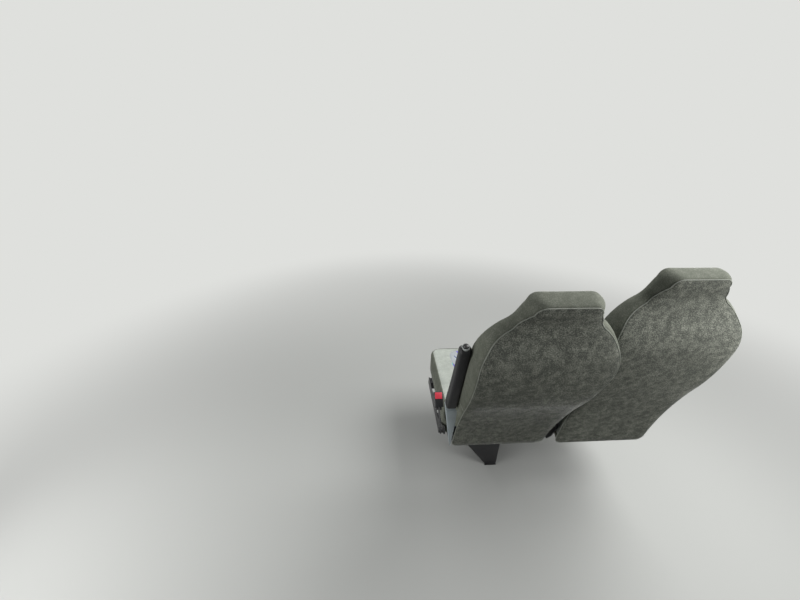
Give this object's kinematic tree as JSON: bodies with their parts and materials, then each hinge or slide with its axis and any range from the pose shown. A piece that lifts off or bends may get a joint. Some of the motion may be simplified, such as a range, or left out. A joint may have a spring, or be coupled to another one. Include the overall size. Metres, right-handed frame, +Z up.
{
  "type": "double passenger seat of a minibus",
  "caption": "Double minibus passenger seat: tall upholstered reclining backs, cushions, a folding aisle armrest and lap belts on a steel frame with a floor pedestal.",
  "frame": {"origin": "The middle of the pedestal's foot plate, on its lower face, where it is bolted to the track in the floor.", "axes": "+Z is up, the seat faces -Y, +X is the aisle side and -X the wall side."},
  "size_m": [0.9525, 0.8014, 1.1727],
  "materials": {
    "panel_fabric": "short-pile velour, heather charcoal",
    "back_fabric": "velour with a printed centre",
    "cushion_fabric": "light grey velour with a printed centre",
    "pan_steel": "black powder coat",
    "frame_paint": "black powder coat",
    "zinc_steel": "zinc plated",
    "cover_plastic": "grained light grey",
    "armrest_vinyl": "grained black skin",
    "cap_plastic": "grey push button",
    "button_red": "red",
    "buckle_plastic": "black",
    "stalk_sleeve": "black sleeve",
    "webbing": "woven polyester webbing",
    "tongue_steel": "plated steel",
    "retractor_plastic": "black"
  },
  "bodies": {
    "seat_frame": {"belt_tongue_aisle": "tongue_steel", "belt_tongue_window": "tongue_steel", "belt_webbing_aisle": "webbing", "belt_webbing_window": "webbing", "buckle_anchor_aisle": "zinc_steel", "buckle_anchor_centre": "zinc_steel", "buckle_body_centre": "buckle_plastic", "buckle_button_centre": "button_red", "buckle_stalk_centre": "stalk_sleeve", "cross_rail_front": "frame_paint", "cross_rail_rear": "frame_paint", "cushion_aisle": "cushion_fabric", "cushion_pan_aisle": "pan_steel", "cushion_pan_window": "pan_steel", "cushion_window": "cushion_fabric", "foot_plate": "frame_paint", "pedestal_front_post": "frame_paint", "pedestal_rear_post": "frame_paint", "pedestal_web": "frame_paint", "pivot_bracket_aisle_inner": "frame_paint", "pivot_bracket_aisle_outer": "frame_paint", "pivot_bracket_window_inner": "frame_paint", "pivot_bracket_window_outer": "frame_paint", "pivot_pin_aisle": "zinc_steel", "pivot_pin_window": "zinc_steel", "recliner_hub_aisle": "zinc_steel", "recliner_hub_window": "zinc_steel", "retractor_aisle": "retractor_plastic", "retractor_window": "retractor_plastic", "side_arm": "frame_paint", "wall_plate": "frame_paint"},
    "aisle_back": {"armrest_carrier": "zinc_steel", "back_pad_aisle": "back_fabric", "back_panel_aisle": "panel_fabric", "hinge_plate_aisle_inner": "zinc_steel", "hinge_plate_aisle_outer": "zinc_steel", "side_cover": "cover_plastic"},
    "window_back": {"back_pad_window": "back_fabric", "back_panel_window": "panel_fabric", "hinge_plate_window_inner": "zinc_steel", "hinge_plate_window_outer": "zinc_steel"},
    "armrest": {"armrest_cap": "cap_plastic", "armrest_pad": "armrest_vinyl"},
    "aisle_buckle": {"buckle_body_aisle": "buckle_plastic", "buckle_button_aisle": "button_red", "buckle_stalk_aisle": "stalk_sleeve"}
  },
  "joints": [
    {"name": "aisle_recline", "type": "hinge", "parent": "seat_frame", "child": "aisle_back", "pos_m": [0.066, 0.262, 0.405], "axis": [-1, 0, 0], "range_deg": [-11, 11.5]},
    {"name": "window_recline", "type": "hinge", "parent": "seat_frame", "child": "window_back", "pos_m": [-0.379, 0.262, 0.405], "axis": [-1, 0, 0], "range_deg": [-3, 19.5]},
    {"name": "armrest_fold", "type": "hinge", "parent": "aisle_back", "child": "armrest", "pos_m": [0.304, 0.35811, 0.64584], "axis": [1, 0, 0], "range_deg": [0, 106]},
    {"name": "aisle_buckle_swivel", "type": "hinge", "parent": "seat_frame", "child": "aisle_buckle", "pos_m": [0.3085, 0.262, 0.396], "axis": [-1, 0, 0], "range_deg": [-15, 20]}
  ]
}
